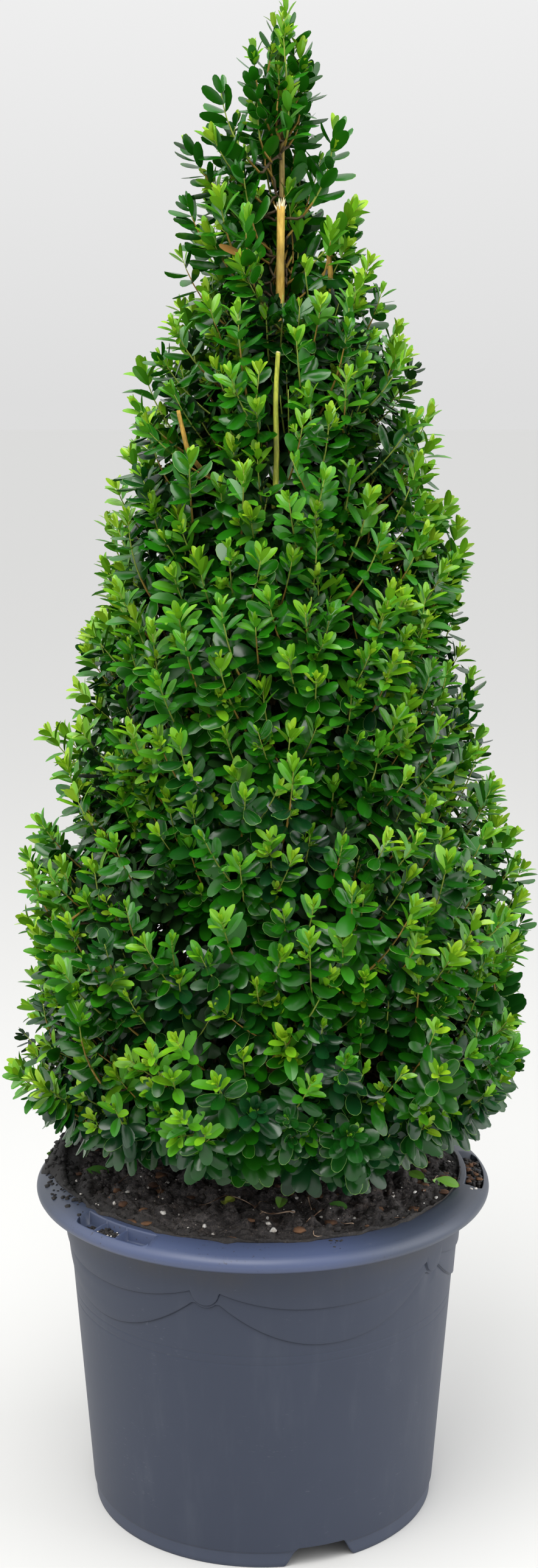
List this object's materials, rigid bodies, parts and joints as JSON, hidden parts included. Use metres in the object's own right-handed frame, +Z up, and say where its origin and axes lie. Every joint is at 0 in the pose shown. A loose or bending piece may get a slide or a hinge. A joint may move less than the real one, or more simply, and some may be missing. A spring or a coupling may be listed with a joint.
{
  "type": "boxwood cone topiary in a pot",
  "caption": "Box plant clipped to a tall leafy cone, growing in a round tapered nursery pot with a rolled rim, for standing on a patio or by a door.",
  "frame": {"origin": "on the ground plane under the pot, on the pot's own axis, within 4 mm of the centre of the whole plant's bounding box", "axes": "+Z up along the pot's axis; -Y is the front, which shows the cut main stem; +X is to the right seen from the front"},
  "size_m": [0.365, 0.363, 1.029],
  "materials": {
    "pot": "satin",
    "compost": "matte",
    "bark": "matte",
    "green_stem": "satin",
    "foliage": "satin"
  },
  "bodies": {
    "root": {"pot": "pot", "compost": "compost", "trunk": "bark", "leader_stem": "bark", "pruned_stem": "green_stem", "bough_1_1": "bark", "bough_1_2": "bark", "bough_1_3": "bark", "bough_1_4": "bark", "bough_1_5": "bark", "bough_2_1": "bark", "bough_2_2": "bark", "bough_2_3": "bark", "bough_2_4": "bark", "bough_2_5": "bark", "foliage_skirt_1": "foliage", "foliage_skirt_2": "foliage", "foliage_skirt_3": "foliage", "foliage_skirt_4": "foliage", "foliage_skirt_5": "foliage", "foliage_belly_1": "foliage", "foliage_belly_2": "foliage", "foliage_belly_3": "foliage", "foliage_belly_4": "foliage", "foliage_belly_5": "foliage", "foliage_waist_1": "foliage", "foliage_waist_2": "foliage", "foliage_waist_3": "foliage", "foliage_waist_4": "foliage", "foliage_waist_5": "foliage", "foliage_shoulder_1": "foliage", "foliage_shoulder_2": "foliage", "foliage_shoulder_3": "foliage", "foliage_shoulder_4": "foliage", "foliage_shoulder_5": "foliage", "foliage_crest_1": "foliage", "foliage_crest_2": "foliage", "foliage_crest_3": "foliage", "foliage_crest_4": "foliage", "foliage_crest_5": "foliage", "foliage_leader": "foliage"}
  },
  "joints": []
}
